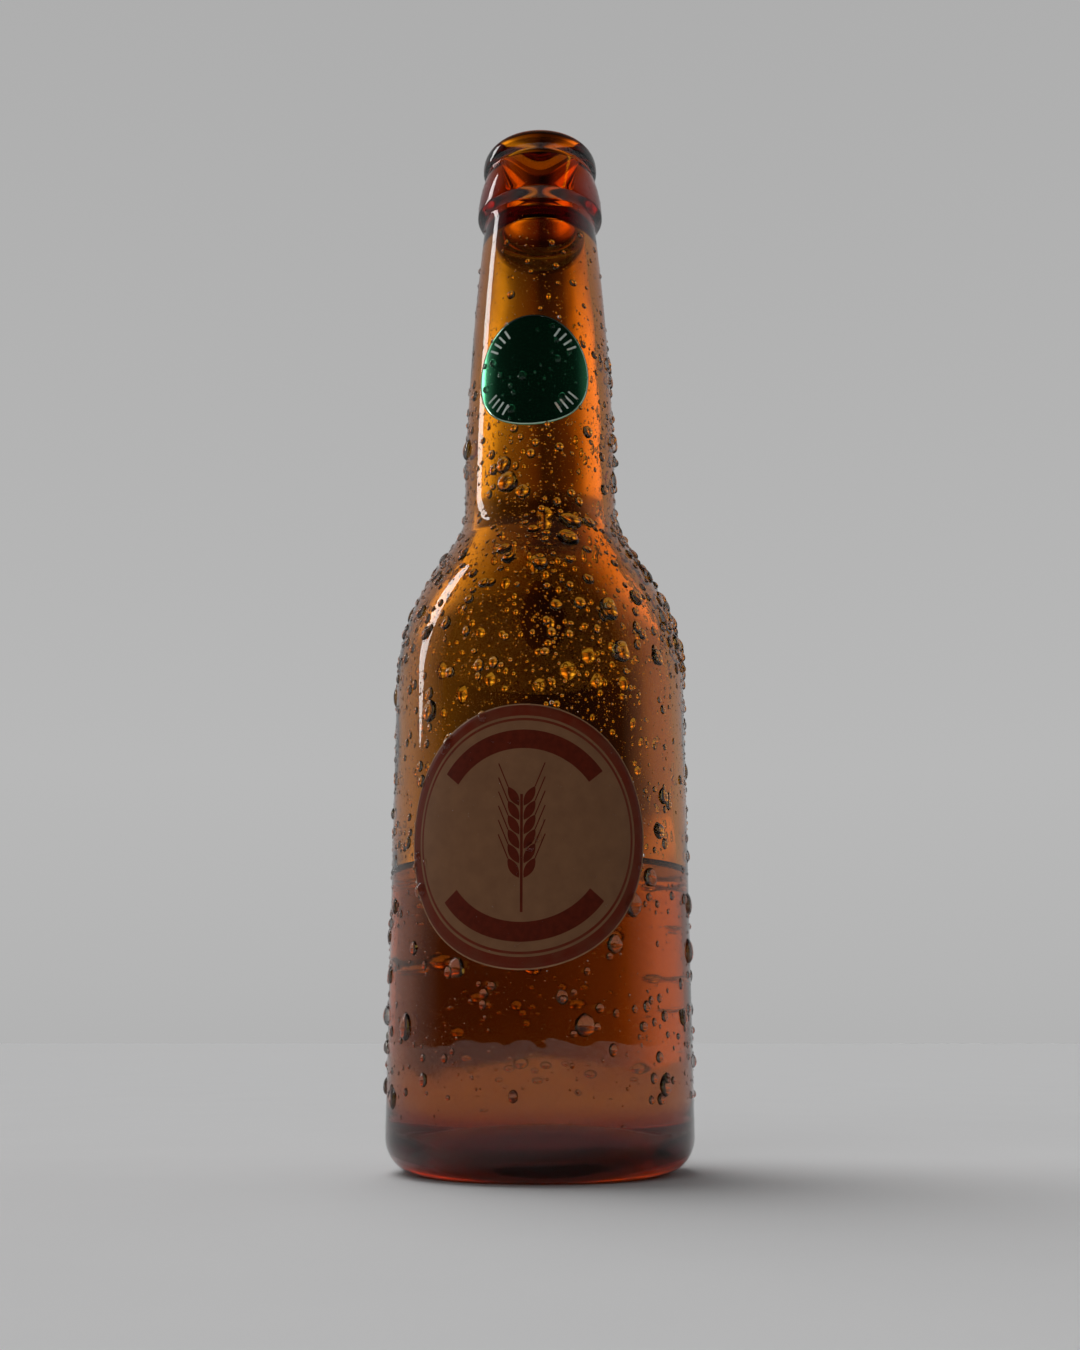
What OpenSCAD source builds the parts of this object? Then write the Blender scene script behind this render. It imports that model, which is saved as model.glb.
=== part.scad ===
// Long-neck glass beer bottle with a crown finish, opened and part drunk.
// It stands on its base: origin at the middle of the base, +Z up through the mouth.
// The two round labels face -Y.

/* [Overall] */
// Height from the base to the top of the lip
bottle_h = 228; // [190:1:280]
// Diameter of the body
body_d = 61; // [50:0.5:74]
// Glass thickness of the body, shoulder and neck
wall = 2.4; // [1.8:0.1:4]

/* [Base] */
// Radius of the heel, where the body turns into the base
heel_r = 7; // [4:0.5:10]
// Width of the flat ring that the bottle stands on
bearing_w = 2; // [1:0.5:4]
// Height of the push-up in the middle of the base
punt_h = 4; // [2:0.5:8]
// Glass thickness at the base
base_wall = 4; // [3:0.5:8]
// Radius of the inside corner at the base
heel_in_r = 10; // [6:0.5:14]

/* [Shoulder] */
// Height at which the straight body ends
shoulder_z = 98; // [75:1:115]
// Radius of the rounded shoulder
shoulder_r = 45; // [30:1:55]
// Steepest lean of the shoulder, measured from the vertical
shoulder_angle = 32; // [26:1:42]
// Radius of the hollow curve between shoulder and neck
fillet_r = 15; // [8:1:22]

/* [Neck] */
// Outer diameter at the foot of the neck
neck_base_d = 33.2; // [28:0.2:38]
// Outer diameter at the top of the neck, under the collar
neck_top_d = 25.6; // [22:0.2:26.6]

/* [Crown finish] */
// Diameter of the lip that the crown cap grips
lip_d = 26.6; // [24:0.1:30]
// Height from the groove under the lip to the top
lip_h = 6.7; // [5.5:0.1:9]
// Radius of the lip's upper edge
lip_top_r = 4; // [2:0.1:4.5]
// Radius of the lip's lower edge
lip_low_r = 1.8; // [1:0.1:2]
// Depth of the groove under the lip
groove_depth = 0.8; // [0.6:0.1:2.1]
// Largest diameter of the collar
collar_d = 29; // [27:0.1:33]
// Distance from the top of the lip down to the collar's largest diameter
collar_drop = 17; // [14:0.5:22]
// Height of the step from the neck out to the collar
collar_step = 2.2; // [1:0.1:4]
// Diameter of the bore at the mouth
bore_d = 16; // [14:0.2:18]
// Length of the straight bore below the top of the lip
bore_len = 18; // [12:1:24]
// Height over which the bore widens into the neck
bore_flare = 7; // [4:1:12]
// Radius of the inner edge of the mouth
mouth_r = 0.8; // [0.4:0.1:1]

/* [Beer] */
// Height of the beer's surface above the table
beer_level = 58; // [20:1:90]
// Clearance between the beer's solid and the glass
beer_gap = 0.05; // [0.02:0.01:0.2]

/* [Labels] */
// Diameter of the neck label, laid flat
neck_label_d = 26.5; // [18:0.5:32]
// How far the middle of the neck label lies below the middle of the neck
neck_label_low = 8.1; // [-10:0.1:14]
// Diameter of the body label, laid flat
body_label_d = 50; // [30:1:62]
// Distance from the end of the straight body down to the top of the body label
body_label_drop = 10.5; // [2:0.5:23]
// Thickness of a label
label_t = 0.15; // [0.08:0.01:0.3]
// Film of glue between the glass and a label
glue_t = 0.05; // [0.01:0.01:0.1]

/* [Hidden] */
$fn = 128;

body_r = body_d / 2;
neck_base_r = neck_base_d / 2;
neck_top_r = neck_top_d / 2;
lip_r = lip_d / 2;
groove_r = lip_r - groove_depth;
collar_r = collar_d / 2;
bore_r = bore_d / 2;

// The lip's upper edge is rounded no further than the glass between the lip and the mouth allows.
lip_edge_r = min(lip_top_r, lip_r - bore_r - mouth_r);

// The straight slope of the shoulder joins its round edge to the hollow curve of the neck.
slope_top_r = neck_base_r + fillet_r * (1 - cos(shoulder_angle));
slope_low_r = body_r - shoulder_r * (1 - cos(shoulder_angle));
slope_h = (slope_low_r - slope_top_r) / tan(shoulder_angle);
neck_z = shoulder_z + (shoulder_r + fillet_r) * sin(shoulder_angle) + slope_h;

// The neck is one long arc that leaves its foot upright and leans in to the collar.
collar_z = bottle_h - collar_drop;
neck_top_z = collar_z - collar_step;
neck_rise = neck_top_z - neck_z;
neck_lean = neck_base_r - neck_top_r;
neck_curve_r = (pow(neck_rise, 2) + pow(neck_lean, 2)) / (2 * neck_lean);

// The labels keep their places on the neck and on the straight body.
neck_label_z = (neck_z + neck_top_z) / 2 - neck_label_low;
body_label_z = shoulder_z - body_label_drop - body_label_d / 2;

// The skirt between collar and groove is an arc, upright at the collar.
groove_z = bottle_h - lip_h;
skirt_rise = groove_z - collar_z;
skirt_lean = collar_r - groove_r;
skirt_curve_r = (pow(skirt_rise, 2) + pow(skirt_lean, 2)) / (2 * skirt_lean);

arc_steps = 12;
label_points = 72;

// Points [radius, height] along an arc, from one angle to another.
function arc(centre, radius, from, to, steps = arc_steps) =
    [for (i = [0 : steps]) let (a = from + (to - from) * i / steps)
        centre + radius * [cos(a), sin(a)]];

// A dome's outline from its rim in to the axis: rise is the height gained over the radius rim_r.
function dome(rim_r, rim_z, rise) =
    let (curve_r = (pow(rim_r, 2) + pow(rise, 2)) / (2 * rise), half = asin(rim_r / curve_r))
        arc([0, rim_z + rise - curve_r], curve_r, 90 - half, 90);

// A smooth step between two points, upright at both ends.
function step_curve(from, to, steps = arc_steps) =
    [for (i = [0 : steps]) let (t = i / steps)
        [from[0] + (to[0] - from[0]) * (1 - cos(180 * t)) / 2, from[1] + (to[1] - from[1]) * t]];

// The wall from the shoulder's foot to the top of the neck, moved outwards by out.
function shoulder_curve(out) =
    arc([body_r - shoulder_r, shoulder_z], shoulder_r + out, 0, shoulder_angle);
function fillet_curve(out) =
    arc([neck_base_r + fillet_r, neck_z], fillet_r - out, 180 + shoulder_angle, 180);
function neck_curve(out, top_z) =
    let (radius = neck_curve_r + out)
        arc([neck_base_r - neck_curve_r, neck_z], radius, 0, asin((top_z - neck_z) / radius));

function wall_curve(out, top_z) =
    concat(shoulder_curve(out), fillet_curve(out), neck_curve(out, top_z));

// Outside of the bottle, from the middle of the base up to the flat of the lip.
function outer_outline() = concat(
    turned(dome(body_r - heel_r - bearing_w, 0, punt_h)),
    arc([body_r - heel_r, heel_r], heel_r, -90, 0),
    wall_curve(0, neck_top_z),
    step_curve([neck_top_r, neck_top_z], [collar_r, collar_z]),
    arc([collar_r - skirt_curve_r, collar_z], skirt_curve_r, 0, asin(skirt_rise / skirt_curve_r)),
    arc([lip_r - lip_low_r, bottle_h - lip_edge_r - lip_low_r / 3], lip_low_r,
        -acos((groove_r - lip_r + lip_low_r) / lip_low_r), 0),
    arc([lip_r - lip_edge_r, bottle_h - lip_edge_r], lip_edge_r, 0, 90)
);

// Inside of the bottle, from the edge of the mouth down to the middle of the floor.
// inset moves it inwards, which gives the outline of what fills the bottle.
function mouth_outline() = arc([bore_r + mouth_r, bottle_h - mouth_r], mouth_r, 90, 180);
function inner_outline(inset) =
    let (
        out = -wall - inset,
        bore_z = bottle_h - bore_len,
        flare_z = bore_z - bore_flare,
        neck_in = neck_curve(out, flare_z),
        floor_z = base_wall + inset,
        corner_r = heel_in_r - inset
    )
    concat(
        step_curve([bore_r - inset, bore_z], neck_in[arc_steps]),
        turned(neck_in),
        turned(fillet_curve(out)),
        turned(shoulder_curve(out)),
        arc([body_r + out - corner_r, floor_z + corner_r], corner_r, 0, -90),
        dome(body_r + out - corner_r, floor_z, punt_h)
    );

function turned(points) = [for (i = [len(points) - 1 : -1 : 0]) points[i]];

module glass_bottle() {
    color([0.42, 0.19, 0.03, 0.8])
        rotate_extrude() polygon(concat(outer_outline(), mouth_outline(), inner_outline(0)));
}

// The beer fills the inside up to its level.
module beer() {
    color([0.35, 0.1, 0.04])
        intersection() {
            rotate_extrude()
                polygon(concat([[0, bottle_h - bore_len]], inner_outline(beer_gap)));
            cylinder(r = body_d, h = beer_level);
        }
}

// Outline of a round label of diameter d that lies bent round a surface of radius around_r,
// centred at height z. wrapped_disc cuts this outline out of the thin shell that is passed in.
function wrapped_outline(d, around_r, z) =
    [for (i = [0 : label_points - 1]) let (a = 360 * i / label_points)
        [around_r * sin(d / 2 * cos(a) / around_r * 180 / PI), z + d / 2 * sin(a)]];

module wrapped_disc(d, around_r, z) {
    intersection() {
        children();
        rotate([90, 0, 0]) linear_extrude(height = body_d) polygon(wrapped_outline(d, around_r, z));
    }
}

function neck_r_at(z) =
    neck_base_r - neck_curve_r + sqrt(pow(neck_curve_r, 2) - pow(z - neck_z, 2));

module neck_label() {
    color([0.03, 0.25, 0.12])
        wrapped_disc(neck_label_d, neck_r_at(neck_label_z), neck_label_z)
            rotate_extrude()
                polygon(concat(
                    wall_curve(glue_t, neck_top_z),
                    turned(wall_curve(glue_t + label_t, neck_top_z))
                ));
}

module body_label() {
    color([0.85, 0.78, 0.66])
        wrapped_disc(body_label_d, body_r, body_label_z)
            rotate_extrude()
                translate([body_r + glue_t, heel_r]) square([label_t, shoulder_z - heel_r]);
}

glass_bottle();
beer();
neck_label();
body_label();
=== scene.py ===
import math

import bmesh
import bpy
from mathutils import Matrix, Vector, noise


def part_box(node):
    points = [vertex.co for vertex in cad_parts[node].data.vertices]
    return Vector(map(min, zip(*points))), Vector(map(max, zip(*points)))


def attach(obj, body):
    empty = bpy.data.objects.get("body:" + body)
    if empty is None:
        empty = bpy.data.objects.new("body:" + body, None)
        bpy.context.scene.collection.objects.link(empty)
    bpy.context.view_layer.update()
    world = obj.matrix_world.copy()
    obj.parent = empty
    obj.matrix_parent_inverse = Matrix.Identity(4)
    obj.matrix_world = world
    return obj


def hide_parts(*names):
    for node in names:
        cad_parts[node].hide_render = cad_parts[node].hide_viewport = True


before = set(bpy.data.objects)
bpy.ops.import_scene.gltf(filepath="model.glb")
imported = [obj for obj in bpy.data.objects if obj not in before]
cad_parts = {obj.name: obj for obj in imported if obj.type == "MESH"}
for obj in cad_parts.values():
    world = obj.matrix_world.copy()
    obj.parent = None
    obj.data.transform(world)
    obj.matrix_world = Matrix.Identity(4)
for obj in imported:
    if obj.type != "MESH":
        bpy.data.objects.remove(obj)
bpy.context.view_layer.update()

mm = 0.001  # every size below is in millimetres and is turned to metres where a mesh is made
scene = bpy.context.scene
lowCorner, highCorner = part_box("glass_bottle")
print("frame loaded, bottle height", round(highCorner.z / mm, 1))


# camera: low beside the heel and close, looking up along the neck

cameraSet = {
    "azimuth": 6.5,  # degrees round from the front, towards +X
    "height": 25,  # of the lens above the table
    "distance": 292,  # from the bottle's axis
    "pitch": 14.6,  # degrees upwards
    "pan": 0.0,
    "focal": 1405,  # in the units of the frame height
    "frameHeight": 1350,
    "sensor": 36,
}


def makeCamera(s):
    data = bpy.data.cameras.new("camera")
    data.sensor_fit = "VERTICAL"
    data.sensor_height = s["sensor"]
    data.lens = s["sensor"] * s["focal"] / s["frameHeight"]
    data.clip_start = 0.01
    data.clip_end = 50
    camera = bpy.data.objects.new("camera", data)
    turn = math.radians(s["azimuth"])
    camera.location = (
        s["distance"] * mm * math.sin(turn),
        -s["distance"] * mm * math.cos(turn),
        s["height"] * mm,
    )
    camera.rotation_euler = (math.radians(90 + s["pitch"]), 0, turn + math.radians(s["pan"]))
    scene.collection.objects.link(camera)
    scene.camera = camera


makeCamera(cameraSet)


# node helpers

def addNode(tree, kind, **settings):
    made = tree.nodes.new(kind)
    for key, value in settings.items():
        setattr(made, key, value)
    return made


def feed(tree, socket, value):  # value is a socket to link or a plain number, colour or vector
    if isinstance(value, bpy.types.NodeSocket):
        tree.links.new(value, socket)
    elif value is not None:
        socket.default_value = value


def calc(tree, operation, *values, clamp=False):
    made = addNode(tree, "ShaderNodeMath", operation=operation, use_clamp=clamp)
    for socket, value in zip(made.inputs, values):
        feed(tree, socket, value)
    return made.outputs[0]


def wholeCalc(tree, operation, a, b):
    made = addNode(tree, "FunctionNodeIntegerMath", operation=operation)
    feed(tree, made.inputs[0], a)
    feed(tree, made.inputs[1], b)
    return made.outputs[0]


def geometryTree(name, inputs):  # inputs is a list of (name, socket type, default)
    tree = bpy.data.node_groups.new(name, "GeometryNodeTree")
    tree.interface.new_socket("Geometry", in_out="INPUT", socket_type="NodeSocketGeometry")
    for label, kind, start in inputs:
        socket = tree.interface.new_socket(label, in_out="INPUT", socket_type=kind)
        if start is not None:
            socket.default_value = start
    tree.interface.new_socket("Geometry", in_out="OUTPUT", socket_type="NodeSocketGeometry")
    return tree, addNode(tree, "NodeGroupInput"), addNode(tree, "NodeGroupOutput")


def runTree(source, tree, values, name):  # evaluates the tree on a source object and keeps a plain mesh
    modifier = source.modifiers.new(name, "NODES")
    modifier.node_group = tree
    for item in tree.interface.items_tree:
        if item.in_out == "INPUT" and item.name in values:
            modifier[item.identifier] = values[item.name]
    evaluated = source.evaluated_get(bpy.context.evaluated_depsgraph_get())
    mesh = bpy.data.meshes.new_from_object(evaluated)
    source.modifiers.remove(modifier)
    mesh.name = name
    made = bpy.data.objects.new(name, mesh)
    scene.collection.objects.link(made)
    return made


def linkedMesh(name, verts, faces, edges=()):
    mesh = bpy.data.meshes.new(name)
    mesh.from_pydata(verts, edges, faces)
    mesh.update()
    made = bpy.data.objects.new(name, mesh)
    scene.collection.objects.link(made)
    return made


def faceOutwards(piece):  # turns a closed mesh's faces outwards and checks that nothing is open
    work = bmesh.new()
    work.from_mesh(piece.data)
    openEdges = sum(1 for e in work.edges if not e.is_manifold)
    if work.calc_volume(signed=True) < 0:
        bmesh.ops.reverse_faces(work, faces=work.faces)
    volume = work.calc_volume(signed=True)
    work.to_mesh(piece.data)
    work.free()
    triangles = len(piece.data.loops) - 2 * len(piece.data.polygons)
    print(f"{piece.name}: {volume * 1e6:.3f} cm3, {openEdges} open edges, {triangles} triangles")


# materials

def material(name):
    made = bpy.data.materials.new(name)
    made.use_nodes = True
    tree = made.node_tree
    return made, tree, tree.nodes["Principled BSDF"]


def bumped(tree, shader, scale, strength, distance, detail=2.0):  # fine unevenness of the surface
    place = addNode(tree, "ShaderNodeTexCoord")
    grain = addNode(tree, "ShaderNodeTexNoise")
    tree.links.new(place.outputs["Object"], grain.inputs["Vector"])
    grain.inputs["Scale"].default_value = scale
    grain.inputs["Detail"].default_value = detail
    bump = addNode(tree, "ShaderNodeBump")
    bump.inputs["Strength"].default_value = strength
    bump.inputs["Distance"].default_value = distance
    tree.links.new(grain.outputs["Fac"], bump.inputs["Height"])
    tree.links.new(bump.outputs["Normal"], shader.inputs["Normal"])
    return bump


def clearMaterial(name, ior, absorb, ripple, roughness=0.0):
    # absorb is how much red, green and blue light is lost per metre
    made, tree, shader = material(name)
    shader.inputs["Base Color"].default_value = (1, 1, 1, 1)
    shader.inputs["Transmission Weight"].default_value = 1.0
    shader.inputs["IOR"].default_value = ior
    shader.inputs["Roughness"].default_value = roughness
    bumped(tree, shader, *ripple)
    if absorb:
        density = max(absorb)
        volume = addNode(tree, "ShaderNodeVolumeAbsorption")
        volume.inputs["Color"].default_value = (*[1 - a / density for a in absorb], 1)
        volume.inputs["Density"].default_value = density
        tree.links.new(volume.outputs[0], tree.nodes["Material Output"].inputs["Volume"])
    return made


amberGlass = clearMaterial("amberGlass", 1.52, (80, 258, 880), (90, 0.05, 0.0006))
beerLiquid = clearMaterial("beerLiquid", 1.34, (13, 27, 40), (60, 0.02, 0.0004), 0.06)
waterDrop = clearMaterial("waterDrop", 1.333, None, (700, 0.03, 0.0001))


# the bottle's outline

bottle = {
    "height": highCorner.z / mm,
    "bodyR": highCorner.x / mm,
    "wall": 2.4,
    "heelR": 7,
    "bearing": 2,
    "punt": 4,
    "floor": 4,
    "heelInR": 10,
    "shoulderZ": 98,
    "shoulderR": 45,
    "shoulderLean": 32,
    "filletR": 15,
    "neckBaseR": 16.6,
    "neckTopR": 12.8,
    "lipR": 13.3,
    "lipH": 6.7,
    "lipTopR": 4,
    "lipLowR": 1.8,
    "grooveR": 12.5,
    "collarR": 14.5,
    "collarDrop": 17,
    "collarStep": 2.2,
    "boreR": 8,
    "boreLength": 18,
    "boreFlare": 7,
    "mouthR": 0.8,
    "beerLevel": 58,
}


def arc(centre, radius, start, end, steps):
    angles = [math.radians(start + (end - start) * i / steps) for i in range(steps + 1)]
    return [(centre[0] + radius * math.cos(a), centre[1] + radius * math.sin(a)) for a in angles]


def easeStep(start, end, steps):  # a smooth step that is upright at both ends
    out = []
    for i in range(steps + 1):
        t = i / steps
        share = (1 - math.cos(math.pi * t)) / 2
        out.append((start[0] + (end[0] - start[0]) * share, start[1] + (end[1] - start[1]) * t))
    return out


def dome(rimR, rimZ, rise, steps):  # from the rim in to the axis
    radius = (rimR**2 + rise**2) / (2 * rise)
    half = math.degrees(math.asin(rimR / radius))
    return arc((0, rimZ + rise - radius), radius, 90 - half, 90, steps)


def joined(*runs):  # one outline without doubled points
    out = []
    for point in (p for run in runs for p in run):
        if not out or math.dist(point, out[-1]) > 0.002:
            out.append(point)
    return out


def neckShape(b):
    lean = math.radians(b["shoulderLean"])
    topR = b["neckBaseR"] + b["filletR"] * (1 - math.cos(lean))
    lowR = b["bodyR"] - b["shoulderR"] * (1 - math.cos(lean))
    neckZ = b["shoulderZ"] + (b["shoulderR"] + b["filletR"]) * math.sin(lean) + (lowR - topR) / math.tan(lean)
    collarZ = b["height"] - b["collarDrop"]
    topZ = collarZ - b["collarStep"]
    rise = topZ - neckZ
    narrowing = b["neckBaseR"] - b["neckTopR"]
    curveR = (rise**2 + narrowing**2) / (2 * narrowing)
    return {"neckZ": neckZ, "collarZ": collarZ, "topZ": topZ, "curveR": curveR}


def straightRun(radius, fromZ, toZ, steps):
    return [(radius, fromZ + (toZ - fromZ) * i / steps) for i in range(steps + 1)]


def shoulderRun(b, out):
    return arc((b["bodyR"] - b["shoulderR"], b["shoulderZ"]), b["shoulderR"] + out, 0, b["shoulderLean"], 24)


def filletRun(b, n, out):
    centre = (b["neckBaseR"] + b["filletR"], n["neckZ"])
    return arc(centre, b["filletR"] - out, 180 + b["shoulderLean"], 180, 16)


def neckRun(b, n, out, topZ):
    radius = n["curveR"] + out
    top = math.degrees(math.asin((topZ - n["neckZ"]) / radius))
    return arc((b["neckBaseR"] - n["curveR"], n["neckZ"]), radius, 0, top, 40)


def finishRun(b, n):  # collar, skirt, groove and lip, up to the flat of the mouth
    grooveZ = b["height"] - b["lipH"]
    rise = grooveZ - n["collarZ"]
    lean = b["collarR"] - b["grooveR"]
    skirtR = (rise**2 + lean**2) / (2 * lean)
    low = b["lipLowR"]
    lowStart = -math.degrees(math.acos((b["grooveR"] - b["lipR"] + low) / low))
    return joined(
        easeStep((b["neckTopR"], n["topZ"]), (b["collarR"], n["collarZ"]), 12),
        arc((b["collarR"] - skirtR, n["collarZ"]), skirtR, 0, math.degrees(math.asin(rise / skirtR)), 16),
        arc((b["lipR"] - low, b["height"] - b["lipTopR"] - low / 3), low, lowStart, 0, 8),
        arc((b["lipR"] - b["lipTopR"], b["height"] - b["lipTopR"]), b["lipTopR"], 0, 90, 12),
    )


def outerRun(b, n):
    heel = (b["bodyR"] - b["heelR"], b["heelR"])
    return joined(
        dome(b["bodyR"] - b["heelR"] - b["bearing"], 0, b["punt"], 16)[::-1],
        arc(heel, b["heelR"], -90, 0, 14),
        straightRun(b["bodyR"], b["heelR"], b["shoulderZ"], 40),
        shoulderRun(b, 0),
        filletRun(b, n, 0),
        neckRun(b, n, 0, n["topZ"]),
        finishRun(b, n),
    )


def innerRun(b, n, inset=0):  # from the bore down to the middle of the floor
    out = -b["wall"] - inset
    boreZ = b["height"] - b["boreLength"]
    flareZ = boreZ - b["boreFlare"]
    neckIn = neckRun(b, n, out, flareZ)
    cornerR = b["heelInR"] - inset
    innerR = b["bodyR"] + out
    floorZ = b["floor"] + inset
    return joined(
        straightRun(b["boreR"] - inset, b["height"] - b["mouthR"], boreZ, 6),
        easeStep((b["boreR"] - inset, boreZ), neckIn[-1], 12),
        neckIn[::-1],
        filletRun(b, n, out)[::-1],
        shoulderRun(b, out)[::-1],
        straightRun(innerR, b["shoulderZ"], floorZ + cornerR, 36),
        arc((innerR - cornerR, floorZ + cornerR), cornerR, 0, -90, 12),
        dome(innerR - cornerR, floorZ, b["punt"], 12),
    )


def mouthRun(b):
    return arc((b["boreR"] + b["mouthR"], b["height"] - b["mouthR"]), b["mouthR"], 90, 180, 6)


neck = neckShape(bottle)


# a lathe: turns an outline of (radius, height) round the axis

def latheTree():
    tree, given, result = geometryTree("lathe", [
        ("Turns", "NodeSocketInt", 128),
        ("Rows", "NodeSocketInt", 10),
        ("Inner ripple", "NodeSocketFloat", 0.0),
        ("Ripple scale", "NodeSocketFloat", 30.0),
        ("Surface", "NodeSocketMaterial", None),
    ])
    columns = wholeCalc(tree, "ADD", given.outputs["Turns"], 1)
    grid = addNode(tree, "GeometryNodeMeshGrid")
    feed(tree, grid.inputs["Vertices X"], columns)
    feed(tree, grid.inputs["Vertices Y"], given.outputs["Rows"])
    index = addNode(tree, "GeometryNodeInputIndex").outputs[0]
    row = wholeCalc(tree, "MODULO", index, given.outputs["Rows"])
    column = wholeCalc(tree, "DIVIDE", index, given.outputs["Rows"])

    def fromOutline(kind, value):
        sample = addNode(tree, "GeometryNodeSampleIndex", data_type=kind, domain="POINT")
        feed(tree, sample.inputs["Geometry"], given.outputs["Geometry"])
        feed(tree, sample.inputs["Value"], value)
        feed(tree, sample.inputs["Index"], row)
        return sample.outputs[0]

    place = addNode(tree, "ShaderNodeSeparateXYZ")
    position = addNode(tree, "GeometryNodeInputPosition").outputs[0]
    feed(tree, place.inputs[0], fromOutline("FLOAT_VECTOR", position))
    innerName = addNode(tree, "GeometryNodeInputNamedAttribute", data_type="FLOAT")
    innerName.inputs["Name"].default_value = "inner"
    inner = fromOutline("FLOAT", innerName.outputs["Attribute"])

    angle = calc(tree, "MULTIPLY", calc(tree, "DIVIDE", column, given.outputs["Turns"]), 2 * math.pi)
    cosine, sine = calc(tree, "COSINE", angle), calc(tree, "SINE", angle)

    def around(radius):
        spot = addNode(tree, "ShaderNodeCombineXYZ")
        feed(tree, spot.inputs["X"], calc(tree, "MULTIPLY", radius, cosine))
        feed(tree, spot.inputs["Y"], calc(tree, "MULTIPLY", radius, sine))
        feed(tree, spot.inputs["Z"], place.outputs["Z"])
        return spot.outputs[0]

    waves = addNode(tree, "ShaderNodeTexNoise")
    feed(tree, waves.inputs["Vector"], around(place.outputs["X"]))
    feed(tree, waves.inputs["Scale"], given.outputs["Ripple scale"])
    waves.inputs["Detail"].default_value = 1.0
    wave = calc(tree, "SUBTRACT", waves.outputs["Fac"], 0.5)
    swing = calc(tree, "MULTIPLY", wave, given.outputs["Inner ripple"])
    radius = calc(tree, "ADD", place.outputs["X"], calc(tree, "MULTIPLY", swing, inner))

    move = addNode(tree, "GeometryNodeSetPosition")
    feed(tree, move.inputs["Geometry"], grid.outputs["Mesh"])
    feed(tree, move.inputs["Position"], around(radius))
    weld = addNode(tree, "GeometryNodeMergeByDistance")
    feed(tree, weld.inputs["Geometry"], move.outputs[0])
    weld.inputs["Distance"].default_value = 2e-6
    smooth = addNode(tree, "GeometryNodeSetShadeSmooth")
    feed(tree, smooth.inputs["Geometry"], weld.outputs[0])
    whole = addNode(tree, "GeometryNodeRealizeInstances")
    feed(tree, whole.inputs[0], smooth.outputs[0])
    paint = addNode(tree, "GeometryNodeSetMaterial")
    feed(tree, paint.inputs["Geometry"], whole.outputs[0])
    feed(tree, paint.inputs["Material"], given.outputs["Surface"])
    feed(tree, result.inputs[0], paint.outputs[0])
    return tree


lathe = latheTree()


def turned(name, outline, surface, inner=None, turns=144, ripple=0.0, rippleScale=30.0):
    points = [(r * mm, 0, z * mm) for r, z in outline]
    source = linkedMesh(name + "Outline", points, [], [(i, i + 1) for i in range(len(points) - 1)])
    amount = source.data.attributes.new("inner", "FLOAT", "POINT")
    amount.data.foreach_set("value", inner or [0.0] * len(points))
    made = runTree(source, lathe, {
        "Turns": turns,
        "Rows": len(points),
        "Inner ripple": ripple * mm,
        "Ripple scale": rippleScale,
        "Surface": surface,
    }, name)
    bpy.data.objects.remove(source)
    return made


# glass

glassSet = {
    "turns": 160,
    "ripple": 0.8,  # how uneven the inside is, and how finely
    "rippleScale": 34,
    "calmAtBore": 12,  # rows over which the unevenness starts and ends
    "calmAtFloor": 8,
}

outside = outerRun(bottle, neck)
inside = innerRun(bottle, neck)
outline = joined(outside, mouthRun(bottle), inside)
innerMask = [0.0] * (len(outline) - len(inside))
for i in range(len(inside)):
    innerMask.append(min(1.0, i / glassSet["calmAtBore"], (len(inside) - 1 - i) / glassSet["calmAtFloor"]))
glass = turned("glassBottle", outline, amberGlass, innerMask, glassSet["turns"], glassSet["ripple"],
               glassSet["rippleScale"])
faceOutwards(glass)
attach(glass, "root")
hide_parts("glass_bottle")


# beer: reaches a little way into the glass, so no air shows between them

beerSet = {"reach": 0.35, "meniscus": 1.1, "meniscusWidth": 2.2, "rimSteps": 12, "topSteps": 10, "turns": 128}


def beerOutline(b, s):
    level = b["beerLevel"]
    wallLine = [p for p in innerRun(b, neck, -s["reach"]) if p[1] <= level + s["meniscus"]]
    wallR = b["bodyR"] - b["wall"] + s["reach"]
    reach = b["bodyR"] - b["wall"]
    surface = []
    for i in range(s["rimSteps"] + 1):
        t = i / s["rimSteps"]
        surface.append((reach - s["meniscusWidth"] * (1 - t), level + s["meniscus"] * t**3))
    top = [(reach * i / s["topSteps"], level) for i in range(s["topSteps"])]
    top = [p for p in top if p[0] < surface[0][0] - 0.3]
    return joined(top, surface, [(wallR, level + s["meniscus"])], wallLine)


beer = turned("beerFill", beerOutline(bottle, beerSet), beerLiquid, turns=beerSet["turns"])
faceOutwards(beer)
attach(beer, "root")
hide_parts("beer")


# labels: round sheets wrapped on the glass, seen from the front at -Y

labelSheet = {"thick": 0.15, "sunk": 0.03, "edge": 0.06, "rings": 22, "segments": 120}
inkSheet = {"low": 0.1, "high": 0.165}
labelPlace = {"belowMid": 8.1, "belowShoulder": 10.5, "neckR": 13.25, "bodyR": 25}
neckLabelSet = {"r": labelPlace["neckR"], "z": (neck["neckZ"] + neck["topZ"]) / 2 - labelPlace["belowMid"]}
bodyLabelSet = {
    "r": labelPlace["bodyR"],
    "z": bottle["shoulderZ"] - labelPlace["belowShoulder"] - labelPlace["bodyR"],
}


def neckRadius(z):
    return bottle["neckBaseR"] - neck["curveR"] + math.sqrt(neck["curveR"] ** 2 - (z - neck["neckZ"]) ** 2)


def bodyRadius(z):
    return bottle["bodyR"]


def wrapped(label, surfaceR, u, v, lift):  # a point of the flat label, laid on the glass
    z = label["z"] + v
    angle = u / surfaceR(label["z"])
    radius = surfaceR(z) + lift
    return (radius * math.sin(angle) * mm, -radius * math.cos(angle) * mm, z * mm)


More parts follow.
